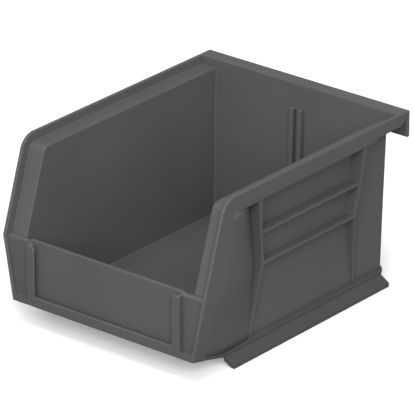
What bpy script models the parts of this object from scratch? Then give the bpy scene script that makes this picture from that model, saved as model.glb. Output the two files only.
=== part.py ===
"""Stackable hang-and-stack storage bin, modelled in Blender 4.5.

The real bin is one injection moulding. Here each feature of the moulding is its own
named solid: floor, walls, rim, stacking ledges, ribs, feet, label frame and hanger.
Neighbouring solids keep a small gap so that they never overlap.

Axes: +X to the bin's right, +Y to its back, +Z up. The origin is on the resting plane,
under the middle of the bounding box. Sizes below are in millimetres.
"""
import math

import bmesh
import bpy
from mathutils import Matrix, Vector

MM = 0.001
GAP = 0.3

# Whole bin
HALF_WIDTH = 52.4
HALF_LENGTH = 66.0
HEIGHT = 76.0

# Box: floor, side walls and rear wall
WALL = 1.6
SIDE_OUTER = 45.3
SIDE_INNER = SIDE_OUTER - WALL
FLOOR_UNDER = 4.7
FLOOR_TOP = 6.4
REAR_INNER = 59.2
REAR_OUTER = 61.2
REAR_DRAFT = 1.4
RAMP_START = -46.5
RAMP_SLOPE = 0.251

# Front wall and its frame for a card
FRONT_FACE = -63.4
FRONT_BACK = -61.6
FRONT_TOP = 37.6
SHELF_TOP = 36.8
SHELF_THICK = 1.9
BAND_TOP = 12.3
BAR_INNER = 35.6
BAR_OUTER = 39.8
BAR_TOP = 36.0
TOP_STEP = 1.0
CARD_LEDGE_TOP = 14.0
SLOT_DEPTH = 1.6
SLOT_WIDTH = 1.4

# Rim: outer lip, with the stacking ledge inside it
LIP_THICK = 1.6
LIP_BAND = 7.1
LIP_FRONT_KNEE = (-65.4, 36.7)
LIP_TOP_CORNER = (-52.4, HEIGHT)
LIP_RADIUS = 6.0
LIP_INNER_RADIUS = 0.6
LIP_BOTTOM = 9.6
SKIRT_END = 45.0
SKIRT_RISE = 1.5
LIP_BOTTOM_X = 47.05
LEDGE_TOP = 72.0
LEDGE_THICK = 2.0
LEDGE_SETBACK = 4.3

# Ribs on the outside of the side walls
RIB_THICK = 1.6
RIB_LEVELS = (FLOOR_TOP + GAP, 39.0, HEIGHT - LIP_BAND - GAP)
RIB_OUTER = (45.9, 49.65, 52.0)
FRONT_RIB_Y = (-29.4, -25.3, -30.5)
REAR_RIB_Y = (38.0, 33.9, 39.1)
CROSS_RIB_Z = (53.3, 39.0)
FLARE_POWER = 2.5
FLARE_COLUMNS = 10
FLARE_LOW_ROWS = 4
FLARE_HIGH_ROWS = 5

# Foot rails and the strips above them
STRIP_OUTER = 46.4
RAIL_INNER = 44.6
RAIL_TIP = 50.3
RAIL_FRONT = -44.2
RAIL_BACK = 56.7

# Hanger along the top of the rear wall
PLATE_THICK = 1.8
FLANGE_THICK = 1.7
FLANGE_BOTTOM = 64.5
FLANGE_CHAMFER = 0.6
GUSSET_DROP = 1.0

# Divider slots on the rear and front walls
DIVIDER_RIB_INNER = 0.95
DIVIDER_RIB_OUTER = 3.3
DIVIDER_RIB_DEPTH = 2.0
DIVIDER_RIB_TOP = 65.6


def clear_scene():
    for item in list(bpy.data.objects):
        bpy.data.objects.remove(item, do_unlink=True)


def make_collection(name):
    collection = bpy.data.collections.new(name)
    bpy.context.scene.collection.children.link(collection)
    return collection


def make_plastic(name, grey, roughness):
    """Dark grey moulded polypropylene, with a slightly different tone for each piece."""
    material = bpy.data.materials.new(name)
    material.use_nodes = True
    shader = material.node_tree.nodes["Principled BSDF"]
    shader.inputs["Base Color"].default_value = (grey, grey, grey * 1.02, 1.0)
    shader.inputs["Roughness"].default_value = roughness
    shader.inputs["Metallic"].default_value = 0.0
    return material


def finish(name, mesh, tone=0.0):
    """Link a mesh as a named node with its own material."""
    node = bpy.data.objects.new(name, mesh)
    mesh.materials.append(make_plastic(name + "_plastic", 0.095 + tone, 0.5))
    PARTS.objects.link(node)
    return node


def rounded(points, radii, steps=6):
    """Open or closed outline with an arc in place of each corner that has a radius."""
    outline = []
    for index, corner in enumerate(points):
        radius = radii.get(index, 0.0)
        here = Vector(corner)
        if not radius:
            outline.append(tuple(here))
            continue
        before = (Vector(points[index - 1]) - here).normalized()
        after = (Vector(points[(index + 1) % len(points)]) - here).normalized()
        half = before.angle(after) / 2
        centre = here + (before + after).normalized() * radius / math.sin(half)
        spoke = here + before * radius / math.tan(half) - centre
        end = here + after * radius / math.tan(half) - centre
        turn = spoke.angle_signed(end)
        for step in range(steps + 1):
            outline.append(tuple(centre + Matrix.Rotation(-turn * step / steps, 2) @ spoke))
    return outline


def plate(name, outline, plane, low, high, tone=0.0):
    """Flat outline, extruded between two levels across its plane.

    plane is "YZ" (extruded along X), "XZ" (along Y) or "XY" (along Z).
    """
    curve = bpy.data.curves.new(name, "CURVE")
    curve.dimensions = "2D"
    curve.fill_mode = "BOTH"
    curve.extrude = abs(high - low) / 2 * MM
    spline = curve.splines.new("POLY")
    spline.points.add(len(outline) - 1)
    for point, (u, v) in zip(spline.points, outline):
        point.co = (u * MM, v * MM, 0.0, 1.0)
    spline.use_cyclic_u = True
    node = bpy.data.objects.new(name, curve)
    middle = (low + high) / 2 * MM
    if plane == "YZ":
        node.rotation_euler = (math.pi / 2, 0.0, math.pi / 2)
        node.location.x = middle
    elif plane == "XZ":
        node.rotation_euler = (math.pi / 2, 0.0, 0.0)
        node.location.y = middle
    else:
        node.location.z = middle
    curve.materials.append(make_plastic(name + "_plastic", 0.095 + tone, 0.5))
    PARTS.objects.link(node)
    return node


def sheet(name, front, back, tone=0.0):
    """Closed solid between two matching grids of points, front and back."""
    rows = len(front)
    columns = len(front[0])
    shape = bmesh.new()
    near = [[shape.verts.new(Vector(p) * MM) for p in row] for row in front]
    far = [[shape.verts.new(Vector(p) * MM) for p in row] for row in back]
    for i in range(rows - 1):
        for j in range(columns - 1):
            shape.faces.new((near[i][j], near[i][j + 1], near[i + 1][j + 1], near[i + 1][j]))
            shape.faces.new((far[i][j], far[i + 1][j], far[i + 1][j + 1], far[i][j + 1]))
    for i in range(rows - 1):
        for j in (0, columns - 1):
            shape.faces.new((near[i][j], near[i + 1][j], far[i + 1][j], far[i][j]))
    for j in range(columns - 1):
        for i in (0, rows - 1):
            shape.faces.new((near[i][j], far[i][j], far[i][j + 1], near[i][j + 1]))
    bmesh.ops.recalc_face_normals(shape, faces=shape.faces)
    mesh = bpy.data.meshes.new(name)
    shape.to_mesh(mesh)
    shape.free()
    return finish(name, mesh, tone)


def interpolate(value, levels, values):
    """Piecewise linear reading of values at levels."""
    for low, high, start, end in zip(levels, levels[1:], values, values[1:]):
        if value <= high:
            return start + (end - start) * (value - low) / (high - low)
    return values[-1]


def offset_line(start, end, distance):
    """The line from start to end, moved to its right-hand side."""
    along = (Vector(end) - Vector(start)).normalized()
    across = Vector((along.y, -along.x)) * distance
    return Vector(start) + across, Vector(end) + across


def at_height(line, height):
    """The point of a line at a height."""
    start, end = line
    share = (height - start.y) / (end.y - start.y)
    return tuple(start + (end - start) * share)


def lip_outer(height):
    """Outer face of the lip: upright above the knee, leaning in below it."""
    knee = LIP_FRONT_KNEE[1]
    lean = (HALF_WIDTH - LIP_BOTTOM_X) / (knee - LIP_BOTTOM)
    return HALF_WIDTH - max(0.0, knee - height) * lean


def ramp_under(y):
    """Underside of the bin: flat, then rising towards the front wall."""
    return FLOOR_UNDER + max(0.0, RAMP_START - y) * RAMP_SLOPE


# The slanted front edge of the rim runs from the knee up to the top corner, so its
# right-hand side, seen from +X, is the inside of the bin.
SLANT = (LIP_FRONT_KNEE, LIP_TOP_CORNER)


def build_floor():
    half = SIDE_INNER - GAP
    back = REAR_INNER - REAR_DRAFT - GAP
    floor = [(-half, RAMP_START + GAP), (half, RAMP_START + GAP),
             (half, back), (-half, back)]
    plate("floor_panel", floor, "XY", FLOOR_UNDER, FLOOR_TOP)
    thick = FLOOR_TOP - FLOOR_UNDER
    start = RAMP_START - GAP
    end = FRONT_BACK + GAP
    ramp = [(start, ramp_under(start)), (start, ramp_under(start) + thick),
            (end, ramp_under(end) + thick), (end, ramp_under(end))]
    plate("floor_front_ramp", ramp, "YZ", -half, half, tone=0.01)


def build_rear_wall():
    half = SIDE_INNER - GAP
    wide = HALF_WIDTH - LIP_THICK - GAP
    shoulder = LEDGE_TOP - LEDGE_THICK
    shoulders = [(-wide, shoulder), (wide, shoulder), (wide, HEIGHT), (-wide, HEIGHT)]
    plate("rear_top_shoulder", shoulders, "XZ", REAR_INNER, REAR_OUTER)

    def wall_row(y, height):
        return [(-half, y, height), (half, y, height)]

    front = [wall_row(REAR_INNER - REAR_DRAFT, FLOOR_UNDER), wall_row(REAR_INNER, shoulder - GAP)]
    back = [wall_row(REAR_OUTER - REAR_DRAFT, FLOOR_UNDER), wall_row(REAR_OUTER, shoulder - GAP)]
    sheet("rear_wall", front, back)


def build_front_wall():
    """Panel that a card lies against, the edge above it and the band below it."""
    wide = BAR_INNER - GAP
    low = CARD_LEDGE_TOP + GAP
    panel = [(-wide, low), (wide, low), (wide, BAR_TOP), (-wide, BAR_TOP)]
    plate("front_wall", panel, "XZ", FRONT_FACE, FRONT_BACK, tone=0.01)
    half = SIDE_INNER - GAP
    step = BAR_OUTER - TOP_STEP
    edge = [(-half, BAR_TOP + GAP), (half, BAR_TOP + GAP), (half, SHELF_TOP),
            (BAR_OUTER, SHELF_TOP), (step, FRONT_TOP), (-step, FRONT_TOP),
            (-BAR_OUTER, SHELF_TOP), (-half, SHELF_TOP)]
    plate("front_top_edge", edge, "XZ", FRONT_FACE, FRONT_BACK, tone=0.02)

    def band_row(y, height):
        reach = lip_outer(height) - LIP_THICK - GAP
        return [(-reach, y, height), (reach, y, height)]

    front = [band_row(-HALF_LENGTH, LIP_BOTTOM), band_row(-HALF_LENGTH, BAND_TOP)]
    back_y = FRONT_BACK
    back = [band_row(back_y, ramp_under(back_y)), band_row(back_y, BAND_TOP)]
    sheet("front_bottom_band", front, back, tone=0.02)


def build_label_bar(side, sign):
    """Bar beside the front panel, with a slot that faces the middle for a card's edge."""
    slot_front = FRONT_FACE - SLOT_WIDTH
    slot_end = BAR_INNER + SLOT_DEPTH
    section = [(BAR_INNER, -HALF_LENGTH), (BAR_OUTER, -HALF_LENGTH), (BAR_OUTER, FRONT_BACK),
               (BAR_INNER, FRONT_BACK), (BAR_INNER, FRONT_FACE), (slot_end, FRONT_FACE),
               (slot_end, slot_front), (BAR_INNER, slot_front)]
    outline = [(sign * x, y) for x, y in section]
    plate(side + "_label_bar", outline, "XY", BAND_TOP + GAP, BAR_TOP, tone=0.03)


def build_card_ledge():
    """Ledge between the label bars, with a groove for the card's lower edge."""
    low = BAND_TOP + GAP
    groove_low = low + GAP
    groove_front = FRONT_FACE - SLOT_WIDTH
    section = [(-HALF_LENGTH, low), (FRONT_BACK, low), (FRONT_BACK, CARD_LEDGE_TOP),
               (FRONT_FACE, CARD_LEDGE_TOP), (FRONT_FACE, groove_low),
               (groove_front, groove_low), (groove_front, CARD_LEDGE_TOP),
               (-HALF_LENGTH, CARD_LEDGE_TOP)]
    reach = BAR_INNER - GAP
    plate("card_ledge", section, "YZ", -reach, reach, tone=0.03)


def build_side_wall(side, sign):
    top = LEDGE_TOP - LEDGE_THICK - GAP
    inset = LEDGE_SETBACK + LEDGE_THICK + GAP
    edge = offset_line(*SLANT, inset)
    shelf = SHELF_TOP - SHELF_THICK - GAP
    front = FRONT_BACK + GAP
    outline = [(REAR_OUTER - REAR_DRAFT, FLOOR_UNDER), (REAR_OUTER, top), at_height(edge, top),
               at_height(edge, shelf), (front, shelf), (front, ramp_under(front)),
               (RAMP_START, FLOOR_UNDER)]
    outline = rounded(outline, {2: 3.0})
    low, high = sorted((sign * SIDE_INNER, sign * SIDE_OUTER))
    plate(side + "_side_wall", outline, "YZ", low, high)


def build_front_column(side, sign):
    """Strip of the front wall that closes the flare, between the label bar and the lip."""
    low = BAND_TOP + GAP
    top = SHELF_TOP - SHELF_THICK - GAP
    reach = LIP_THICK + GAP
    inner = BAR_OUTER + GAP
    corner = SIDE_INNER - GAP
    half_outline = [(inner, low), (lip_outer(low) - reach, low), (lip_outer(top) - reach, top),
                    (corner, top), (corner, BAR_TOP), (inner, BAR_TOP)]
    outline = [(sign * x, z) for x, z in half_outline]
    plate(side + "_front_column", outline, "XZ", FRONT_FACE, FRONT_BACK, tone=0.02)


def ledge_lines():
    """Top and underside of the stacking ledge, from the back to the front face."""
    top_edge = offset_line(*SLANT, LEDGE_SETBACK)
    under_edge = offset_line(*SLANT, LEDGE_SETBACK + LEDGE_THICK)
    back = REAR_INNER - GAP
    under = LEDGE_TOP - LEDGE_THICK
    shelf_under = SHELF_TOP - SHELF_THICK
    top = [(back, LEDGE_TOP), at_height(top_edge, LEDGE_TOP), at_height(top_edge, SHELF_TOP),
           (FRONT_FACE, SHELF_TOP)]
    low = [(back, under), at_height(under_edge, under), at_height(under_edge, shelf_under),
           (FRONT_FACE, shelf_under)]
    return rounded(top, {1: 4.0}), rounded(low, {1: 2.0})


def build_ledge(side, sign):
    top, low = ledge_lines()

    def row(y, height):
        reach = lip_outer(height) - LIP_THICK - GAP
        return [(sign * SIDE_INNER, y, height), (sign * reach, y, height)]

    sheet(side + "_stacking_ledge", [row(*p) for p in top], [row(*p) for p in low], tone=0.03)


def lip_lines():
    """Outer edge of the lip and the inner edge of its band, from back to bottom front."""
    inner = offset_line(*SLANT, LIP_BAND)
    band_low = HEIGHT - LIP_BAND
    front_inner = -HALF_LENGTH + LIP_BAND
    back = REAR_INNER - GAP
    knee_y, knee_z = LIP_FRONT_KNEE
    outer = [(back, HEIGHT), (SKIRT_END, HEIGHT), (SKIRT_END - SKIRT_RISE, HEIGHT),
             LIP_TOP_CORNER, LIP_FRONT_KNEE, (-HALF_LENGTH, LIP_BOTTOM)]
    rear_low = band_low + SKIRT_RISE
    inside = [(back, rear_low), (SKIRT_END, rear_low), (SKIRT_END - SKIRT_RISE, band_low),
              at_height(inner, band_low), at_height(inner, knee_z),
              (front_inner, ramp_under(front_inner) + FLOOR_TOP - FLOOR_UNDER + GAP)]
    return rounded(outer, {3: LIP_RADIUS}), rounded(inside, {3: LIP_INNER_RADIUS})


def build_lip(side, sign):
    outer, inside = lip_lines()
    face = []
    core = []
    for edge, inner in zip(outer, inside):
        face.append([(sign * lip_outer(z), y, z) for y, z in (edge, inner)])
        core.append([(sign * (lip_outer(z) - LIP_THICK), y, z) for y, z in (edge, inner)])
    sheet(side + "_rim_lip", face, core, tone=0.02)


def flare_heights(low):
    """Heights of the flare's rows, with one row exactly at the lip's knee."""
    knee = LIP_FRONT_KNEE[1]
    below = [low + (knee - low) * row / FLARE_LOW_ROWS for row in range(FLARE_LOW_ROWS)]
    above = [knee + (RIB_LEVELS[-1] - knee) * row / FLARE_HIGH_ROWS
             for row in range(FLARE_HIGH_ROWS + 1)]
    return below + above


def build_flare(side, sign):
    """Solid wedge that swells from the front rib out to the lip at the front."""
    band_edge = offset_line(*SLANT, LIP_BAND + GAP)
    band_line = [at_height(band_edge, RIB_LEVELS[-1]), at_height(band_edge, LIP_FRONT_KNEE[1])]
    front_y = -HALF_LENGTH + LIP_BAND + GAP
    strip_top = FLOOR_TOP - FLOOR_UNDER + GAP

    def front_limit(height):
        levels = (LIP_BOTTOM, LIP_FRONT_KNEE[1], RIB_LEVELS[-1])
        return interpolate(height, levels, (front_y, band_line[1][0], band_line[0][0]))

    def rib_limit(height):
        return interpolate(height, RIB_LEVELS, FRONT_RIB_Y) - RIB_THICK / 2 - GAP

    outer = []
    inner = []
    root = SIDE_OUTER + GAP
    for column in range(FLARE_COLUMNS + 1):
        share = column / FLARE_COLUMNS
        swell = 1 - (1 - share) ** FLARE_POWER
        foot_y = rib_limit(0.0) + (front_y - rib_limit(0.0)) * share
        low = ramp_under(foot_y) + strip_top
        outer_line = []
        inner_line = []
        for height in flare_heights(low):
            y = rib_limit(height) + (front_limit(height) - rib_limit(height)) * share
            skin = root + GAP + (lip_outer(height) - root - GAP) * swell
            outer_line.append((sign * skin, y, height))
            inner_line.append((sign * root, y, height))
        outer.append(outer_line)
        inner.append(inner_line)
    sheet(side + "_front_flare", outer, inner, tone=0.01)


def build_vertical_rib(name, sign, line):
    """Upright rib that leans in towards the middle at half height and tapers out below."""
    root = SIDE_OUTER + GAP
    faces = []
    for offset in (-RIB_THICK / 2, RIB_THICK / 2):
        faces.append([[(sign * root, y + offset, z), (sign * outer, y + offset, z)]
                      for y, z, outer in zip(line, RIB_LEVELS, RIB_OUTER)])
    sheet(name, *faces, tone=0.04)


def build_cross_rib(name, sign, height):
    """Level rib between the front and the rear upright ribs."""
    clear = RIB_THICK / 2 + GAP
    start = interpolate(height, RIB_LEVELS, FRONT_RIB_Y) + clear
    end = interpolate(height, RIB_LEVELS, REAR_RIB_Y) - clear
    reach = interpolate(height, RIB_LEVELS, RIB_OUTER)
    xs = sorted((sign * (SIDE_OUTER + GAP), sign * reach))
    outline = [(xs[0], start), (xs[1], start), (xs[1], end), (xs[0], end)]
    plate(name, outline, "XY", height - RIB_THICK / 2, height + RIB_THICK / 2, tone=0.04)


def build_ribs(side, sign):
    build_vertical_rib(side + "_front_rib", sign, FRONT_RIB_Y)
    build_vertical_rib(side + "_rear_rib", sign, REAR_RIB_Y)
    for level, height in zip(("upper", "lower"), CROSS_RIB_Z):
        build_cross_rib(side + "_" + level + "_cross_rib", sign, height)


def build_base_strip(side, sign):
    front = -HALF_LENGTH + LIP_BAND + GAP
    tall = FLOOR_TOP - FLOOR_UNDER
    back = REAR_OUTER - REAR_DRAFT
    outline = [(back, FLOOR_UNDER), (back, FLOOR_TOP), (RAMP_START, FLOOR_TOP),
               (front, ramp_under(front) + tall), (front, ramp_under(front)),
               (RAMP_START, FLOOR_UNDER)]
    low, high = sorted((sign * (SIDE_OUTER + GAP), sign * STRIP_OUTER))
    plate(side + "_base_strip", outline, "YZ", low, high, tone=0.02)


def build_foot_rail(side, sign):
    """Foot that spreads outwards, to stand on and to sit on a lower bin's ledge."""
    root_top = FLOOR_UNDER - GAP
    section = [(RAIL_INNER, root_top), (STRIP_OUTER, root_top), (RAIL_TIP, 1.9),
               (RAIL_TIP, 0.0), (RAIL_TIP - 1.8, 0.0), (RAIL_INNER, 2.2)]
    outline = [(sign * x, z) for x, z in section]
    plate(side + "_foot_rail", outline, "XZ", RAIL_FRONT, RAIL_BACK, tone=0.05)


def build_hanger():
    """Top plate behind the rear wall, and the flange that turns down from it."""
    wide = HALF_WIDTH - LIP_THICK - GAP
    plate_low = HEIGHT - PLATE_THICK
    flange_front = HALF_LENGTH - FLANGE_THICK
    corner = flange_front - FLANGE_CHAMFER
    top = [(-wide, REAR_OUTER + GAP), (wide, REAR_OUTER + GAP),
           (wide, corner - GAP), (-wide, corner - GAP)]
    plate("hanger_top_plate", top, "XY", plate_low, HEIGHT, tone=0.03)
    flange = [(HALF_LENGTH, FLANGE_BOTTOM), (HALF_LENGTH, HEIGHT), (corner, HEIGHT),
              (corner, plate_low), (flange_front, plate_low - FLANGE_CHAMFER),
              (flange_front, FLANGE_BOTTOM)]
    plate("hanger_flange", flange, "YZ", -wide, wide)


def build_hanger_gusset(side, sign):
    """Web that closes the hanger's end, slanted between the rim's skirt and the flange."""
    skirt_low = HEIGHT - LIP_BAND + SKIRT_RISE
    flange_front = HALF_LENGTH - FLANGE_THICK
    outline = [(REAR_INNER, skirt_low), (REAR_INNER, HEIGHT), (HALF_LENGTH, HEIGHT),
               (HALF_LENGTH, FLANGE_BOTTOM), (flange_front, FLANGE_BOTTOM),
               (flange_front, HEIGHT - PLATE_THICK - GUSSET_DROP), (REAR_OUTER, skirt_low)]
    low_x, high_x = sorted((sign * (HALF_WIDTH - LIP_THICK), sign * HALF_WIDTH))
    plate(side + "_hanger_gusset", outline, "YZ", low_x, high_x, tone=0.04)


def build_divider_ribs(side, sign):
    """One rib of each slot that holds a lengthwise divider, at the back and the front."""
    low_x, high_x = sorted((sign * DIVIDER_RIB_INNER, sign * DIVIDER_RIB_OUTER))
    rear = REAR_INNER - GAP
    low = FLOOR_TOP + GAP
    foot = rear - REAR_DRAFT
    rear_outline = [(foot - DIVIDER_RIB_DEPTH, low), (foot, low), (rear, DIVIDER_RIB_TOP),
                    (rear - DIVIDER_RIB_DEPTH, DIVIDER_RIB_TOP)]
    plate("rear_" + side + "_divider_rib", rear_outline, "YZ", low_x, high_x, tone=0.03)
    front = FRONT_BACK + GAP
    inner = front + DIVIDER_RIB_DEPTH
    lift = FLOOR_TOP - FLOOR_UNDER + GAP
    front_outline = [(front, ramp_under(front) + lift), (front, SHELF_TOP),
                     (inner, SHELF_TOP - 1.0), (inner, ramp_under(inner) + lift)]
    plate("front_" + side + "_divider_rib", front_outline, "YZ", low_x, high_x, tone=0.03)


clear_scene()
PARTS = make_collection("stackable_storage_bin")
build_floor()
build_rear_wall()
build_front_wall()
build_card_ledge()
build_hanger()
for SIDE, SIGN in (("left", -1), ("right", 1)):
    build_side_wall(SIDE, SIGN)
    build_front_column(SIDE, SIGN)
    build_ledge(SIDE, SIGN)
    build_lip(SIDE, SIGN)
    build_flare(SIDE, SIGN)
    build_ribs(SIDE, SIGN)
    build_base_strip(SIDE, SIGN)
    build_foot_rail(SIDE, SIGN)
    build_label_bar(SIDE, SIGN)
    build_hanger_gusset(SIDE, SIGN)
    build_divider_ribs(SIDE, SIGN)
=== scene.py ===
"""Looks of a stackable hang-and-stack storage bin, modelled in Blender 4.5.

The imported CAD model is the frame: sizes and places are read from its nodes, in millimetres.
The moulding is rebuilt as one smooth shell. Side flares, rib grids, feet, label bars, a card
frame and divider ribs are sunk into it.
"""

import math

import bmesh
import bpy
from mathutils import Matrix, Vector


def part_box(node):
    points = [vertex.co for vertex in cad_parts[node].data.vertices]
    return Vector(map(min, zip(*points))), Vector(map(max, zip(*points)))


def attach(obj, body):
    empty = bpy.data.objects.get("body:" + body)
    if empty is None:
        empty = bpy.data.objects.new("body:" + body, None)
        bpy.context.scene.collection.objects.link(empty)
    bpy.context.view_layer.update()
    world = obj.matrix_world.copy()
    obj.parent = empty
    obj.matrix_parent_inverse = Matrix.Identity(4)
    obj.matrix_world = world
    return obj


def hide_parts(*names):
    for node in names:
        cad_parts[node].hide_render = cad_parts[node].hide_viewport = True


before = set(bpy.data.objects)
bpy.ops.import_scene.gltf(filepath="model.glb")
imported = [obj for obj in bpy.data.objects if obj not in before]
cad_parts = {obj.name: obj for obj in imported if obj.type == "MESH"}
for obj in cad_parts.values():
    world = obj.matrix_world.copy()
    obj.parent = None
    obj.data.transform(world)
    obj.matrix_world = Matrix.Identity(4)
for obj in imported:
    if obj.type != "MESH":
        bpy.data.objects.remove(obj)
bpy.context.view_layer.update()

MM = 0.001
SIDES = (("left", -1), ("right", 1))
SIGNS = (-1, 1)


class Span:
    """A CAD node's lowest and highest coordinates, in millimetres."""

    def __init__(self, node):
        low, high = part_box(node)
        self.x0, self.y0, self.z0 = (round(value / MM, 3) for value in low)
        self.x1, self.y1, self.z1 = (round(value / MM, 3) for value in high)


# Sizes read from the frame
FLOOR = Span("floor_panel")
RAMP = Span("floor_front_ramp")
WALL = Span("right_side_wall")
SHOULDER = Span("rear_top_shoulder")
REAR = Span("rear_wall")
PANEL = Span("front_wall")
TOP_EDGE = Span("front_top_edge")
BAND = Span("front_bottom_band")
CARD_LEDGE = Span("card_ledge")
BAR = Span("right_label_bar")
LEDGE = Span("right_stacking_ledge")
LIP = Span("right_rim_lip")
FLARE = Span("right_front_flare")
FRONT_RIB = Span("right_front_rib")
REAR_RIB = Span("right_rear_rib")
CROSS_RIBS = (Span("right_upper_cross_rib"), Span("right_lower_cross_rib"))
STRIP = Span("right_base_strip")
RAIL = Span("right_foot_rail")
TOP_PLATE = Span("hanger_top_plate")
FLANGE = Span("hanger_flange")
REAR_SLOT_RIB = Span("rear_right_divider_rib")
FRONT_SLOT_RIB = Span("front_right_divider_rib")

GAP = (FLOOR.y0 - RAMP.y1) / 2
HEIGHT = LIP.z1
WIDE = LIP.x1
FRONT = LIP.y0
BACK = FLANGE.y1
LIP_INNER = TOP_PLATE.x1 + GAP
LIP_THICK = WIDE - LIP_INNER
BOTTOM_WIDE = LIP.x0 + LIP_THICK
RAMP_START = FLOOR.y0 - GAP
FLOOR_THICK = FLOOR.z1 - FLOOR.z0
RAMP_SLOPE = (RAMP.z1 - RAMP.z0 - FLOOR_THICK) / (RAMP.y1 - RAMP.y0)
SHELF_TOP = FRONT_SLOT_RIB.z1
RIB_THICK = CROSS_RIBS[0].z1 - CROSS_RIBS[0].z0

# Shapes that the nodes' boxes do not give. KNEE and TOP_CORNER are (y, z) on the rim's front.
KNEE = (-65.4, 36.7)
TOP_CORNER = (-52.4, HEIGHT)
SLANT = (KNEE, TOP_CORNER)
LIP_BAND = 7.1
LIP_CORNER = 8.0
LIP_CORNER_INNER = LIP_CORNER / 10
SKIRT_END = 45.0
SKIRT_RISE = 1.5
LEDGE_SETBACK = 4.3
LEDGE_CORNER = 4.0
LEDGE_UNDER = HEIGHT - LIP_BAND + SKIRT_RISE
FOLD_THICK = LEDGE.z1 - LEDGE_UNDER
STEP_WIDE = 1.4
RIB_BEND = (CROSS_RIBS[1].z0 + CROSS_RIBS[1].z1) / 2
RIB_LEVELS = (FLOOR.z1, RIB_BEND, HEIGHT - LIP_BAND)
SHELF_ROUND = 1.25
OUTER_ROUND = (5.0, 2.0)
INNER_ROUND = (0.6, 0.6)
FRONT_ROUND = 0.3
FLANGE_THICK = 1.7
GUSSET_TOP = 73.2
RIB_FOOT_SHIFT = 1.1
RIB_FOOT = 45.9
RAIL_EDGE = 1.9
RAIL_SOLE = 1.8
RAIL_UNDER = 2.2
SLOT_THICK = 1.2
SLOT_DEPTH = 1.6
LEAD_IN = 1.5
DIVIDER_LEAD_IN = 1.0
FLARE_POWER = 2.5
EDGE_ROUND = 0.45
RIB_ROUND = EDGE_ROUND * 0.8

# Mesh making. Pieces run SINK into each other, SKIN is how far a point may be from a place that
# is tested for, CLEAR keeps faces apart, and FAR is beyond the bin. The shares are depths in the
# front wall where the pieces of the shell end, each different so that no two faces coincide.
BODY_SHARE = 0.5
BAND_SHARE = 0.7
FOLD_SHARE = 0.8
ARC_STEPS = 8
FOLD_STEPS = 6
FLARE_COLUMNS = 24
FLARE_ROWS_LOW = 8
FLARE_ROWS_HIGH = 10
ROUND_SEGMENTS = 3
ROUND_ANGLE = math.radians(28)
SHARP_ANGLE = math.radians(55)
FLAT_ANGLE = math.radians(0.15)
WELD = 0.004
SINK = 0.8
SKIN = 0.05
CLEAR = 0.1
FAR = 100.0


def rounded(points, radii):
    """Outline with an arc in place of each corner that has a radius."""
    outline = []
    for index, corner in enumerate(points):
        radius = radii.get(index, 0.0)
        here = Vector(corner)
        if not radius:
            outline.append(tuple(here))
            continue
        before = (Vector(points[index - 1]) - here).normalized()
        after = (Vector(points[(index + 1) % len(points)]) - here).normalized()
        half = before.angle(after) / 2
        centre = here + (before + after).normalized() * radius / math.sin(half)
        spoke = here + before * radius / math.tan(half) - centre
        turn = spoke.angle_signed(here + after * radius / math.tan(half) - centre)
        for step in range(ARC_STEPS + 1):
            outline.append(tuple(centre + Matrix.Rotation(-turn * step / ARC_STEPS, 2) @ spoke))
    return outline


def offset_line(start, end, distance):
    """The line from start to end, moved to its right-hand side."""
    along = (Vector(end) - Vector(start)).normalized()
    across = Vector((along.y, -along.x)) * distance
    return Vector(start) + across, Vector(end) + across


def at_height(line, height):
    """The point of a line at a height."""
    start, end = line
    return tuple(start + (end - start) * (height - start.y) / (end.y - start.y))


def mix(start, end, share):
    """Value a share of the way from start to end."""
    return start + (end - start) * share


def interpolate(value, levels, values):
    """Piecewise linear reading of values at levels."""
    for low, high, start, end in zip(levels, levels[1:], values, values[1:]):
        if value <= high:
            return mix(start, end, (value - low) / (high - low))
    return values[-1]


def lip_outer(height):
    """Outer face of the lip: upright above the knee, leaning in below it."""
    lean = (WIDE - BOTTOM_WIDE) / (KNEE[1] - LIP.z0)
    return WIDE - max(0.0, KNEE[1] - height) * lean


def ramp_under(y):
    """Height of the underside, which rises towards the front."""
    return FLOOR.z0 + max(0.0, RAMP_START - y) * RAMP_SLOPE


def link(name, shape):
    """Object of a finished bmesh, still in millimetres."""
    bmesh.ops.recalc_face_normals(shape, faces=shape.faces)
    mesh = bpy.data.meshes.new(name)
    shape.to_mesh(mesh)
    shape.free()
    item = bpy.data.objects.new(name, mesh)
    bpy.context.scene.collection.objects.link(item)
    return item


def loft(name, rings):
    """Closed solid through matching rings of points, with flat ends."""
    shape = bmesh.new()
    loops = [[shape.verts.new(point) for point in ring] for ring in rings]
    count = len(rings[0])
    for near, far in zip(loops, loops[1:]):
        for i in range(count):
            j = (i + 1) % count
            shape.faces.new((near[i], near[j], far[j], far[i]))
    shape.faces.new(loops[0])
    shape.faces.new(loops[-1])
    return link(name, shape)


def prism(name, outline, plane, low, high):
    """Outline in a plane, extruded across it: YZ along X, or XZ along Y."""
    place = {"YZ": lambda u, v, w: (w, u, v),
             "XZ": lambda u, v, w: (u, w, v)}[plane]
    return loft(name, [[place(u, v, w) for u, v in outline] for w in (low, high)])


def sheet(name, front, back):
    """Closed solid between two matching grids of points."""
    rows = len(front)
    columns = len(front[0])
    shape = bmesh.new()
    near = [[shape.verts.new(point) for point in row] for row in front]
    far = [[shape.verts.new(point) for point in row] for row in back]
    for i in range(rows - 1):
        for j in range(columns - 1):
            shape.faces.new((near[i][j], near[i][j + 1], near[i + 1][j + 1], near[i + 1][j]))
            shape.faces.new((far[i][j], far[i + 1][j], far[i + 1][j + 1], far[i][j + 1]))
    for i in range(rows - 1):
        for j in (0, columns - 1):
            shape.faces.new((near[i][j], near[i + 1][j], far[i + 1][j], far[i][j]))
    for j in range(columns - 1):
        for i in (0, rows - 1):
            shape.faces.new((near[i][j], far[i][j], far[i][j + 1], near[i][j + 1]))
    return link(name, shape)


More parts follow.
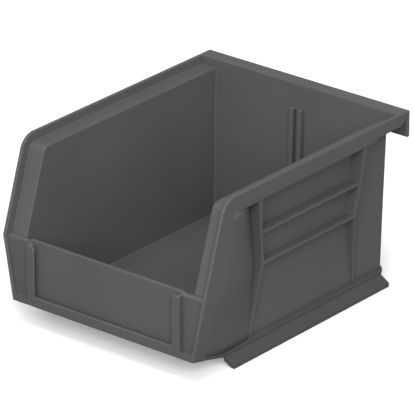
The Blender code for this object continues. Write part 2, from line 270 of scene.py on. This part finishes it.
def combine(base, others, operation="UNION"):
    """Boolean of solids with exact arithmetic. The first one keeps the result."""
    for other in others:
        step = base.modifiers.new(other.name, "BOOLEAN")
        step.operation = operation
        step.solver = "EXACT"
        step.object = other
    bpy.context.view_layer.update()
    graph = bpy.context.evaluated_depsgraph_get()
    mesh = bpy.data.meshes.new_from_object(base.evaluated_get(graph))
    base.modifiers.clear()
    base.data = mesh
    for other in others:
        bpy.data.objects.remove(other)
    return base


def clean(item):
    """Welds the Boolean's slivers and dissolves the seams between coplanar faces."""
    shape = bmesh.new()
    shape.from_mesh(item.data)
    bmesh.ops.remove_doubles(shape, verts=shape.verts, dist=WELD)
    bmesh.ops.dissolve_degenerate(shape, edges=shape.edges, dist=WELD)
    bmesh.ops.dissolve_limit(shape, angle_limit=FLAT_ANGLE, verts=shape.verts, edges=shape.edges)
    shape.to_mesh(item.data)
    shape.free()


def round_edges(item, width, keep=lambda edge: False):
    """Small radius on every clear edge, apart from those that keep names."""
    shape = bmesh.new()
    shape.from_mesh(item.data)
    # Cut at the front rib, so that an edge can stay sharp ahead of it and be round behind it
    bmesh.ops.bisect_plane(shape, geom=shape.verts[:] + shape.edges[:] + shape.faces[:],
                           plane_co=(0, FRONT_RIB.y0 + RIB_THICK / 2, 0), plane_no=(0, 1, 0))
    edges = [edge for edge in shape.edges if len(edge.link_faces) == 2
             and edge.calc_face_angle() > ROUND_ANGLE and not keep(edge)]
    bmesh.ops.bevel(shape, geom=edges, offset=width, offset_type="OFFSET",
                    segments=ROUND_SEGMENTS, profile=0.5, affect="EDGES", clamp_overlap=False,
                    loop_slide=True)
    bmesh.ops.remove_doubles(shape, verts=shape.verts, dist=WELD / 2)
    for edge in shape.edges:
        edge.smooth = edge.calc_face_angle(math.pi) < SHARP_ANGLE
    shape.to_mesh(item.data)
    shape.free()


# ---------------------------------------------------------------- shell

def front_slant(setback, height):
    """Point at a height on the rim's sloping front line, moved inwards by a setback."""
    return at_height(offset_line(*SLANT, setback), height)


def plan_ring(height, half, front, front_round, rear, rear_round):
    """Plan outline at a height, with rounded front and rear corners."""
    corners = [(-half, front), (half, front), (half, rear), (-half, rear)]
    radii = {0: front_round, 1: front_round, 2: rear_round, 3: rear_round}
    return [(x, y, height) for x, y in rounded(corners, radii)]


def plan_loft(name, half, front, front_round, rear, rear_rounds, top):
    """Upright body whose rear wall leans in towards the bottom."""
    rings = []
    draft = SHOULDER.y0 - REAR.y0
    for height in (-SINK, LEDGE_UNDER / 2, LEDGE_UNDER, top):
        share = min(1.0, max(0.0, (height - FLOOR.z0) / (LEDGE_UNDER - FLOOR.z0)))
        rings.append(plan_ring(height, half, front, front_round, rear - draft * (1 - share),
                               mix(*rear_rounds, share)))
    return loft(name, rings)


def build_body():
    """Solid block of the walls. Its top and front end in the middle of the folded sheet."""
    front = mix(PANEL.y0, PANEL.y1, BODY_SHARE)
    shelf = SHELF_TOP - FOLD_THICK / 2
    top = LEDGE.z1 - FOLD_THICK / 2
    setback = LEDGE_SETBACK + FOLD_THICK / 2
    outline = [(front, -SINK), (front, shelf), front_slant(setback, shelf),
               front_slant(setback, top), (FAR, top), (FAR, -SINK)]
    body = prism("bin_shell", outline, "YZ", -WALL.x1, WALL.x1)
    plan = plan_loft("outer_plan", WALL.x1, -FAR, 0.0, SHOULDER.y1, OUTER_ROUND, FAR)
    return combine(body, [plan], "INTERSECT")


def lip_middle(height):
    """Middle of the lip's thickness, where the pieces between the lips end."""
    return lip_outer(height) - LIP_THICK / 2


def build_fold():
    """Sheet folded from lip to lip: stacking ledge, sloping ledge, shelf and front wall."""
    back = SHOULDER.y1 - SINK
    foot = BAND.z1 - SINK
    inner_front = mix(PANEL.y0, PANEL.y1, FOLD_SHARE)
    low_setback = LEDGE_SETBACK + FOLD_THICK
    low = [(back, LEDGE_UNDER), front_slant(low_setback, LEDGE_UNDER),
           front_slant(low_setback, SHELF_TOP - FOLD_THICK),
           (inner_front, SHELF_TOP - FOLD_THICK), (inner_front, foot)]
    low = rounded(low, {1: LEDGE_CORNER - FOLD_THICK, 3: EDGE_ROUND})
    sheets = ([], [])

    def add_column(sign, x_at, rise):
        """One cut across the sheet. The middle of the front wall's top edge is raised."""
        level = SHELF_TOP + rise * (TOP_EDGE.z1 - SHELF_TOP)
        top = [(back, LEDGE.z1), front_slant(LEDGE_SETBACK, LEDGE.z1),
               front_slant(LEDGE_SETBACK, level), (PANEL.y0, level), (PANEL.y0, foot)]
        top = rounded(top, {1: LEDGE_CORNER, 3: mix(SHELF_ROUND, EDGE_ROUND, rise)})
        for faces, line in zip(sheets, (top, low)):
            faces.append([(sign * x_at(z), y, z) for y, z in line])

    columns = [(lip_middle, 0.0)]
    for step in range(FOLD_STEPS + 1):
        share = step / FOLD_STEPS
        x = mix(BAR.x1 + STEP_WIDE / 2, BAR.x1 - STEP_WIDE / 2, share)
        columns.append((lambda z, x=x: x, (1 - math.cos(math.pi * share)) / 2))
    # From the left lip inwards, then outwards to the right lip
    for sign in SIGNS:
        for x_at, rise in columns[::-sign]:
            add_column(sign, x_at, rise)
    return sheet("fold", *sheets)


def lip_inner_line():
    """Inner edge of the lip's band, from the knee's level up to the skirt's."""
    return front_slant(LIP_BAND, KNEE[1]), front_slant(LIP_BAND, HEIGHT - LIP_BAND)


def build_lip(side, sign):
    """Rim band: hanger end, top, sloping front and leaning front edge.

    The points of the two lines match. The inner one is doubled below the rear top corner.
    """
    knee, corner = lip_inner_line()
    skirt = HEIGHT - LIP_BAND
    flange_front = BACK - FLANGE_THICK
    step = SKIRT_END - SKIRT_RISE
    outer = [(BACK, FLANGE.z0), (BACK, GUSSET_TOP), (BACK, HEIGHT), (SHOULDER.y1, HEIGHT),
             (SKIRT_END, HEIGHT), (step, HEIGHT), TOP_CORNER, KNEE,
             (FRONT, BAND.z1), (FRONT, -SINK)]
    inner = [(flange_front, FLANGE.z0), (flange_front, GUSSET_TOP), (flange_front, GUSSET_TOP),
             (SHOULDER.y1, LEDGE_UNDER), (SKIRT_END, LEDGE_UNDER), (step, skirt), corner, knee,
             (FRONT + LIP_BAND, BAND.z1), (FRONT + LIP_BAND, -SINK)]
    turn = outer.index(TOP_CORNER)
    outer = rounded(outer, {turn: LIP_CORNER})
    inner = rounded(inner, {turn: LIP_CORNER_INNER})
    faces = []
    for inset in (0.0, LIP_THICK):
        faces.append([[(sign * (lip_outer(z) - inset), y, z) for y, z in pair]
                      for pair in zip(outer, inner)])
    return sheet(side + "_lip", *faces)


def build_band():
    """Bottom band of the front, from lip to lip, with a tongue that runs into the floor."""
    mid = FLOOR_THICK / 2
    back = mix(PANEL.y0, PANEL.y1, BAND_SHARE)
    tongue = FRONT + LIP_BAND
    outline = [(FRONT, -SINK), (FRONT, BAND.z1), (back, BAND.z1), (back, ramp_under(back) + mid),
               (tongue, ramp_under(tongue) + mid), (tongue, -SINK)]
    return loft("band", [[(sign * lip_middle(z), y, z) for y, z in outline] for sign in SIGNS])


def build_strip():
    """Floor slab, whose edge is the thicker band around the foot of the walls."""
    front = FRONT + LIP_BAND - SINK
    outline = [(front, -SINK), (front, ramp_under(front) + FLOOR_THICK),
               (RAMP_START, FLOOR.z1), (FAR, FLOOR.z1), (FAR, -SINK)]
    strip = prism("strip", outline, "YZ", -STRIP.x1, STRIP.x1)
    proud = STRIP.x1 - WALL.x1
    rounds = (OUTER_ROUND[0] + proud, OUTER_ROUND[1] + proud)
    plan = plan_loft("strip_plan", STRIP.x1, -FAR, 0.0, SHOULDER.y1 + SINK, rounds, FAR)
    return combine(strip, [plan], "INTERSECT")


def build_hanger():
    """Rear shoulder, top plate and the flange that turns down, from lip to lip."""
    flange_front = BACK - FLANGE_THICK
    outline = [(SHOULDER.y0, LEDGE_UNDER), (SHOULDER.y0, HEIGHT), (BACK, HEIGHT),
               (BACK, FLANGE.z0), (flange_front, FLANGE.z0), (flange_front, TOP_PLATE.z0),
               (SHOULDER.y1, TOP_PLATE.z0), (SHOULDER.y1, LEDGE_UNDER)]
    wide = WIDE - LIP_THICK / 2
    return prism("hanger", outline, "YZ", -wide, wide)


def build_cavity():
    """The space inside the bin, down to its floor."""
    floor = [(-FAR, ramp_under(-FAR) + FLOOR_THICK), (RAMP_START, FLOOR.z1), (FAR, FLOOR.z1),
             (FAR, HEIGHT + SINK), (-FAR, HEIGHT + SINK)]
    cavity = prism("cavity", floor, "YZ", -WALL.x0 - SINK, WALL.x0 + SINK)
    plan = plan_loft("inner_plan", WALL.x0 - GAP, PANEL.y1, FRONT_ROUND, SHOULDER.y0,
                     INNER_ROUND, FAR)
    return combine(cavity, [plan], "INTERSECT")


def build_under():
    """Everything below the underside, with the rise under the front ramp."""
    outline = [(-FAR, ramp_under(-FAR)), (RAMP_START, FLOOR.z0), (FAR, FLOOR.z0),
               (FAR, -FAR), (-FAR, -FAR)]
    return prism("under", outline, "YZ", -FAR, FAR)


def behind_flare(x, y, z):
    """True in the pocket under the folded sheet that the flare closes."""
    mid = FOLD_THICK / 2
    if y > FRONT_RIB.y0 + RIB_THICK or not WALL.x1 - CLEAR <= abs(x) <= LIP_INNER + CLEAR:
        return False
    start, along = Vector(KNEE), (Vector(TOP_CORNER) - Vector(KNEE)).normalized()
    setback = (Vector((y, z)) - start).dot(Vector((along.y, -along.x)))
    under_slope = setback > LEDGE_SETBACK + mid and z < LEDGE.z1 - mid
    under_shelf = y > mix(PANEL.y0, PANEL.y1, BODY_SHARE) and z < SHELF_TOP - mid
    above_strip = z > ramp_under(y) + FLOOR_THICK + CLEAR
    inside_strip = z > ramp_under(y) + CLEAR and abs(x) < STRIP.x1 - CLEAR
    return (under_slope or under_shelf) and (above_strip or inside_strip)


def on_flare_joint(x, y, z):
    """True on the lip's inner and lower edges that the flare runs into."""
    knee, corner = lip_inner_line()
    if abs(abs(x) - lip_outer(z)) > SKIN or y > FRONT_RIB.y0 + RIB_THICK / 2 + SKIN:
        return False
    along = (Vector(corner) - Vector(knee)).normalized()
    on_slope = abs((Vector((y, z)) - Vector(knee)).cross(along)) < SKIN
    on_front = abs(y - (FRONT + LIP_BAND)) < SKIN and z < BAND.z1 + SKIN
    on_lean = abs(y - interpolate(z, (BAND.z1, KNEE[1]), (FRONT + LIP_BAND, knee[0]))) < SKIN
    on_skirt = abs(z - (HEIGHT - LIP_BAND)) < SKIN
    on_corner = (Vector((y, z)) - Vector(corner)).length < LIP_CORNER_INNER
    return on_slope or on_front or (on_lean and z < KNEE[1]) or on_skirt or on_corner


def stays_sharp(edge):
    """True on an edge of the shell where a radius would fold over itself or leave a gap."""
    shelf_end = front_slant(LEDGE_SETBACK, SHELF_TOP)[0]

    def at_corner(x, y, z):
        return y > SHOULDER.y0 - INNER_ROUND[1] - SKIN and abs(x) < WALL.x0 + SKIN

    def at_hanger(x, y, z):
        return y > SHOULDER.y0 - SKIN

    def at_shelf(x, y, z):
        return y < shelf_end + SKIN and SHELF_TOP - SHELF_ROUND - SKIN < z < SHELF_TOP + SKIN

    def at_front(x, y, z):
        return PANEL.y1 - SKIN < y < PANEL.y1 + FRONT_ROUND + SKIN and z < BAND.z1

    tests = [at_corner, behind_flare, on_flare_joint]
    if not edge.is_convex:
        tests += [at_hanger, at_shelf, at_front]
    return any(all(test(*vert.co) for vert in edge.verts) for test in tests)


def build_shell():
    """Walls, floor, ledges, lips and hanger in one skin."""
    shell = build_body()
    parts = [build_fold(), build_band(), build_strip(), build_hanger()]
    parts += [build_lip(side, sign) for side, sign in SIDES]
    combine(shell, parts)
    combine(shell, [build_cavity(), build_under()], "DIFFERENCE")
    clean(shell)
    round_edges(shell, EDGE_ROUND, keep=stays_sharp)
    return shell


# ---------------------------------------------------------------- side details

def flare_levels(low):
    """Heights of the flare's rows, with one row exactly at the lip's knee."""
    high = HEIGHT - LIP_BAND + GAP
    below = [mix(low, KNEE[1], row / FLARE_ROWS_LOW) for row in range(FLARE_ROWS_LOW)]
    return below + [mix(KNEE[1], high, row / FLARE_ROWS_HIGH)
                    for row in range(FLARE_ROWS_HIGH + 1)]


def rib_places(ahead, offset=0.0):
    """Places along the bin of an upright rib's middle line, at the levels in RIB_LEVELS."""
    rib = FRONT_RIB if ahead else REAR_RIB
    half = RIB_THICK / 2
    if ahead:
        places = (rib.y0 + half + RIB_FOOT_SHIFT, rib.y1 - half, rib.y0 + half)
    else:
        places = (rib.y1 - half - RIB_FOOT_SHIFT, rib.y0 + half, rib.y1 - half)
    return tuple(place + offset for place in places)


def rib_reach(height):
    """How far the ribs stand out at a height."""
    return interpolate(height, (FLOOR.z1, RIB_BEND, FRONT_RIB.z1),
                       (RIB_FOOT, CROSS_RIBS[1].x1, FRONT_RIB.x1))


def build_flare(side, sign):
    """Wedge that swells from the front rib out to the lip, flush with the lip's band."""
    knee, corner = lip_inner_line()
    front_y = FRONT + LIP_BAND
    places = rib_places(True)
    top = HEIGHT - LIP_BAND
    root = WALL.x1 - SINK
    outer = []
    inner = []

    def front_limit(height):
        return interpolate(height, (BAND.z1, KNEE[1], top, HEIGHT),
                           (front_y, knee[0], corner[0], corner[0] + LIP_BAND))

    def rib_limit(height):
        return interpolate(height, RIB_LEVELS, places)

    for column in range(FLARE_COLUMNS + 2):
        share = min(1.0, column / FLARE_COLUMNS)
        buried = column > FLARE_COLUMNS
        swell = 1 - (1 - share) ** FLARE_POWER
        foot_y = mix(rib_limit(0.0), front_y, share)
        low = ramp_under(foot_y) + FLOOR_THICK + GAP
        outer_line = []
        inner_line = []
        for height in flare_levels(low):
            y = mix(rib_limit(height), front_limit(height), share)
            skin = mix(FLARE.x0, lip_outer(height), swell)
            # The last column runs in behind the lip's band
            if buried:
                y -= SINK
                skin -= GAP / 3
            outer_line.append((sign * skin, y, height))
            inner_line.append((sign * root, y, height))
        outer.append(outer_line)
        inner.append(inner_line)
    return sheet(side + "_flare", outer, inner)


def build_rib_grid(side, sign):
    """Two upright and two level ribs: a plate whose three windows are cut out."""
    root = WALL.x1 - SINK
    half = RIB_THICK / 2
    front = rib_places(True, -half)
    rear = rib_places(False, half)
    heights = (FLOOR.z1 - SINK, RIB_BEND, LEDGE_UNDER + SINK / 2)
    plate = []
    for places in (front, rear):
        ys = [interpolate(z, RIB_LEVELS, places) for z in heights]
        plate.append(([(sign * root, y, z) for y, z in zip(ys, heights)],
                      [(sign * rib_reach(z), y, z) for y, z in zip(ys, heights)]))
    grid = sheet(side + "_rib_grid", [plate[0][0], plate[1][0]], [plate[0][1], plate[1][1]])
    front = rib_places(True, half)
    rear = rib_places(False, -half)
    upper, lower = CROSS_RIBS
    windows = []
    for low, high in ((upper.z1, FAR), (lower.z1, upper.z0), (-FAR, lower.z0)):
        outline = []
        for places in (front, rear):
            line = [(interpolate(z, RIB_LEVELS, places), z) for z in (low, high)]
            outline += line if places == front else reversed(line)
        windows.append(prism("window", outline, "YZ", *sorted((0.0, sign * FAR))))
    combine(grid, windows, "DIFFERENCE")
    clean(grid)
    round_edges(grid, RIB_ROUND)
    return grid


def build_foot(side, sign):
    """Foot rail that spreads outwards under the strip."""
    root = RAIL.z1 + SINK
    under_strip = STRIP.x1 - CLEAR
    section = [(RAIL.x0, root), (under_strip, root), (under_strip, RAIL.z1),
               (RAIL.x1, RAIL_EDGE), (RAIL.x1, 0.0), (RAIL.x1 - RAIL_SOLE, 0.0),
               (RAIL.x0, RAIL_UNDER)]
    foot = prism(side + "_foot", [(sign * x, z) for x, z in section], "XZ", RAIL.y0, RAIL.y1)
    round_edges(foot, RIB_ROUND)
    return foot


def build_label_bar(side, sign):
    """Raised bar with a slot towards the middle for the card's edge and a lead-in on top."""
    front = FRONT + SKIN
    slot_front = FRONT + SLOT_THICK
    back = PANEL.y0 + SINK
    rings = []
    for z, lead_in, rise in ((BAND.z1 - SINK, 0.0, 0.0), (BAR.z1 - LEAD_IN, 0.0, 0.0),
                             (BAR.z1, LEAD_IN, SINK)):
        inner = BAR.x0 + lead_in
        slot_end = inner + SLOT_DEPTH
        section = [(inner, front, z), (BAR.x1, front, z), (BAR.x1, back, z + rise),
                   (slot_end, back, z + rise), (slot_end, slot_front, z + rise / 2),
                   (inner, slot_front, z + rise / 2)]
        rings.append([(sign * x, y, level) for x, y, level in section])
    bar = loft(side + "_bar", rings)
    round_edges(bar, EDGE_ROUND)
    return bar


def build_card_ledge():
    """Ledge that a card stands on, with a groove behind it."""
    low = BAND.z1 - SINK
    groove = PANEL.y0 - (SLOT_THICK + GAP / 2)
    section = [(FRONT + SKIN, low), (groove, low), (groove, CARD_LEDGE.z1),
               (FRONT + SKIN, CARD_LEDGE.z1)]
    ledge = prism("card_frame", section, "YZ", -BAR.x0 - SINK, BAR.x0 + SINK)
    round_edges(ledge, EDGE_ROUND)
    return ledge


def front_slot_outline(rib):
    """Rib inside the front wall, with a sloping top."""
    root = PANEL.y1 - SINK
    low = ramp_under(rib.y1) + FLOOR_THICK - SINK
    return [(root, low), (root, rib.z1), (rib.y1, rib.z1 - DIVIDER_LEAD_IN), (rib.y1, low)]


def rear_slot_outline(rib):
    """Rib on the rear wall, which leans in towards the floor."""
    lean = SHOULDER.y0 - REAR.y0
    low = FLOOR.z1 - SINK
    return [(rib.y0, low), (SHOULDER.y0 - lean + SINK, low), (SHOULDER.y0 + SINK, rib.z1),
            (rib.y0 + lean, rib.z1)]


def build_slot_ribs(name, rib, outline):
    """The pair of ribs that holds a divider's edge."""
    pair = []
    for sign in SIGNS:
        item = prism(name, outline, "YZ", *sorted((sign * rib.x0, sign * rib.x1)))
        round_edges(item, EDGE_ROUND)
        pair.append(item)
    return combine(pair[0], pair[1:])


# ---------------------------------------------------------------- plastic

DARK_TONE = (0.087, 0.087, 0.0885, 1)
LIGHT_TONE = (0.095, 0.095, 0.0965, 1)
TONE_RANGE = (0.35, 0.65)
CLOUD_SCALE = 22.0
CLOUD_DETAIL = 4.0
ROUGHNESS = (0.46, 0.58)
SPECULAR = 0.25
# Painted shade on the outer strip and feet: the factor on the base colour there, and the mm over
# which it fades in below the strip's top.
PAINTED_SHADE_FACTOR = (0.74, 0.74, 0.74, 1)
PAINTED_SHADE_FADE = 2.0
GRAIN_SCALE = 2600.0
GRAIN_DETAIL = 2.0
GRAIN_STRENGTH = 0.12
GRAIN_HEIGHT = 0.0001
FACE_WEIGHT = 60


def add_noise(nodes, links, place, scale, detail):
    """Noise over world places, as the bin never moves."""
    noise = nodes.new("ShaderNodeTexNoise")
    noise.inputs["Scale"].default_value = scale
    noise.inputs["Detail"].default_value = detail
    links.new(place.outputs["Position"], noise.inputs["Vector"])
    return noise.outputs["Fac"]


def add_ramp(nodes, links, value, start, end):
    """Socket that rises from 0 to 1 as a length in metres goes from start to end, in mm."""
    ramp = nodes.new("ShaderNodeMapRange")
    ramp.inputs["From Min"].default_value = start * MM
    ramp.inputs["From Max"].default_value = end * MM
    links.new(value, ramp.inputs["Value"])
    return ramp.outputs["Result"]


def add_math(nodes, links, operation, *values):
    """Result of a maths node on the given sockets."""
    node = nodes.new("ShaderNodeMath")
    node.operation = operation
    for value, socket in zip(values, node.inputs):
        links.new(value, socket)
    return node.outputs["Value"]


def make_plastic():
    """Dark grey satin polypropylene: fine grain, faint clouds, and painted shade that darkens the
    outer strip and feet.
    """
    material = bpy.data.materials.new("moulded_polypropylene")
    material.use_nodes = True
    nodes = material.node_tree.nodes
    links = material.node_tree.links
    shader = nodes["Principled BSDF"]
    shader.inputs["Specular IOR Level"].default_value = SPECULAR
    place = nodes.new("ShaderNodeNewGeometry")

    cloud = add_noise(nodes, links, place, CLOUD_SCALE, CLOUD_DETAIL)
    tone = nodes.new("ShaderNodeValToRGB")
    for stop, at, colour in zip(tone.color_ramp.elements, TONE_RANGE, (DARK_TONE, LIGHT_TONE)):
        stop.position = at
        stop.color = colour
    links.new(cloud, tone.inputs["Fac"])

    # Painted shade: the base colour is darkened on the outer faces below the strip's top. It
    # stands in for shade on the strip and feet.
    axes = nodes.new("ShaderNodeSeparateXYZ")
    links.new(place.outputs["Position"], axes.inputs["Vector"])
    aside = add_math(nodes, links, "ABSOLUTE", axes.outputs["X"])
    outside = add_ramp(nodes, links, aside, WALL.x0, WALL.x1)
    below = add_ramp(nodes, links, axes.outputs["Z"], STRIP.z1, STRIP.z1 - PAINTED_SHADE_FADE)
    base = nodes.new("ShaderNodeMix")
    base.data_type = "RGBA"
    base.blend_type = "MULTIPLY"
    base.inputs["B"].default_value = PAINTED_SHADE_FACTOR
    links.new(add_math(nodes, links, "MULTIPLY", outside, below), base.inputs["Factor"])
    links.new(tone.outputs["Color"], base.inputs["A"])
    links.new(base.outputs["Result"], shader.inputs["Base Color"])

    sheen = nodes.new("ShaderNodeMapRange")
    sheen.inputs["To Min"].default_value = ROUGHNESS[0]
    sheen.inputs["To Max"].default_value = ROUGHNESS[1]
    links.new(cloud, sheen.inputs["Value"])
    links.new(sheen.outputs["Result"], shader.inputs["Roughness"])

    bump = nodes.new("ShaderNodeBump")
    bump.inputs["Strength"].default_value = GRAIN_STRENGTH
    bump.inputs["Distance"].default_value = GRAIN_HEIGHT
    links.new(add_noise(nodes, links, place, GRAIN_SCALE, GRAIN_DETAIL), bump.inputs["Height"])
    links.new(bump.outputs["Normal"], shader.inputs["Normal"])
    return material


def finish_piece(item, material, *nodes):
    """Metres, smooth shading, plastic, and the CAD nodes that the piece stands for."""
    item.data.transform(Matrix.Scale(MM, 4))
    item.data.materials.clear()
    item.data.materials.append(material)
    item.data.shade_smooth()
    normals = item.modifiers.new("flat_faces", "WEIGHTED_NORMAL")
    normals.weight = FACE_WEIGHT
    normals.keep_sharp = True
    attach(item, "root")
    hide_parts(*nodes)


def build_bin():
    """Every piece of the moulding, with the CAD nodes that each one stands for."""
    plastic = make_plastic()
    shell_nodes = ["floor_panel", "floor_front_ramp", "front_wall", "front_top_edge",
                   "front_bottom_band", "rear_wall", "rear_top_shoulder", "hanger_top_plate",
                   "hanger_flange"]
    for side, sign in SIDES:
        shell_nodes += [side + "_" + part for part in
                        ("side_wall", "front_column", "stacking_ledge", "rim_lip",
                         "base_strip", "hanger_gusset")]
        finish_piece(build_flare(side, sign), plastic, side + "_front_flare")
        finish_piece(build_rib_grid(side, sign), plastic, side + "_front_rib",
                     side + "_rear_rib", side + "_upper_cross_rib", side + "_lower_cross_rib")
        finish_piece(build_foot(side, sign), plastic, side + "_foot_rail")
        finish_piece(build_label_bar(side, sign), plastic, side + "_label_bar")
    finish_piece(build_shell(), plastic, *shell_nodes)
    finish_piece(build_card_ledge(), plastic, "card_ledge")
    rear = build_slot_ribs("rear_slot_ribs", REAR_SLOT_RIB, rear_slot_outline(REAR_SLOT_RIB))
    finish_piece(rear, plastic, "rear_left_divider_rib", "rear_right_divider_rib")
    front = build_slot_ribs("front_slot_ribs", FRONT_SLOT_RIB, front_slot_outline(FRONT_SLOT_RIB))
    finish_piece(front, plastic, "front_left_divider_rib", "front_right_divider_rib")


# ---------------------------------------------------------------- studio

CAMERA_AZIMUTH = math.radians(39.27)
CAMERA_ELEVATION = math.radians(23.8)
CAMERA_DISTANCE = 1.9492
CAMERA_TARGET = Vector((-0.00378, 0.00507, 0.03805))
CAMERA_LENS = 416.6
CAMERA_SENSOR = 36.0
CAMERA_REACH = 20.0
SOFTBOX_DISTANCE = 1.5
SOFTBOX_SIZE = 0.8
FLOOR_SIZE = 6.0
FLOOR_DROP = 0.00005
FLOOR_TONE = (0.9, 0.9, 0.9, 1)
FLOOR_ROUGHNESS = 0.9
FLOOR_GLOW = 0.22
SKY_STRENGTH = 0.29
WHITE = (1, 1, 1, 1)


def place_facing(item, target, azimuth, elevation, distance):
    """Object around a target, looking at it. Azimuth 0 looks along +Y."""
    flat = math.cos(elevation)
    away = Vector((math.sin(azimuth) * flat, -math.cos(azimuth) * flat, math.sin(elevation)))
    item.location = target + away * distance
    item.rotation_euler = away.to_track_quat("Z", "Y").to_euler()
    bpy.context.scene.collection.objects.link(item)


def make_camera():
    camera = bpy.data.objects.new("camera", bpy.data.cameras.new("camera"))
    camera.data.sensor_width = CAMERA_SENSOR
    camera.data.lens = CAMERA_LENS
    camera.data.clip_end = CAMERA_REACH
    place_facing(camera, CAMERA_TARGET, CAMERA_AZIMUTH, CAMERA_ELEVATION, CAMERA_DISTANCE)
    bpy.context.scene.camera = camera


def make_softbox(name, azimuth, elevation, power, mirrored=True):
    """Square area light that faces the middle of the bin. Angles in degrees, power in watts."""
    lamp = bpy.data.lights.new(name, "AREA")
    lamp.size = SOFTBOX_SIZE
    lamp.energy = power
    item = bpy.data.objects.new(name, lamp)
    item.visible_glossy = mirrored
    place_facing(item, Vector((0, 0, HEIGHT * MM / 2)), math.radians(azimuth),
                 math.radians(elevation), SOFTBOX_DISTANCE)


def make_floor():
    """Pale floor that takes the shadow and sends no light back to the bin."""
    shape = bmesh.new()
    bmesh.ops.create_grid(shape, x_segments=1, y_segments=1, size=FLOOR_SIZE)
    mesh = bpy.data.meshes.new("floor")
    shape.to_mesh(mesh)
    shape.free()
    floor = bpy.data.objects.new("floor", mesh)
    floor.location.z = -FLOOR_DROP
    material = bpy.data.materials.new("pale_floor")
    material.use_nodes = True
    shader = material.node_tree.nodes["Principled BSDF"]
    shader.inputs["Base Color"].default_value = FLOOR_TONE
    shader.inputs["Roughness"].default_value = FLOOR_ROUGHNESS
    shader.inputs["Emission Color"].default_value = WHITE
    shader.inputs["Emission Strength"].default_value = FLOOR_GLOW
    mesh.materials.append(material)
    floor.visible_diffuse = False
    floor.visible_glossy = False
    bpy.context.scene.collection.objects.link(floor)


def make_world():
    world = bpy.data.worlds.new("studio")
    world.use_nodes = True
    sky = world.node_tree.nodes["Background"]
    sky.inputs["Color"].default_value = WHITE
    sky.inputs["Strength"].default_value = SKY_STRENGTH
    bpy.context.scene.world = world
    bpy.context.scene.view_settings.view_transform = "Standard"


build_bin()
make_camera()
make_floor()
make_world()
make_softbox("front_softbox", 39, 30, 19.0)
make_softbox("left_softbox", -10, 10, 3.5)
make_softbox("right_softbox", 90, 26, 5.0)
make_softbox("top_softbox", 10, 76, 10.5)
make_softbox("rear_softbox", 215, 12, 9.0, mirrored=False)
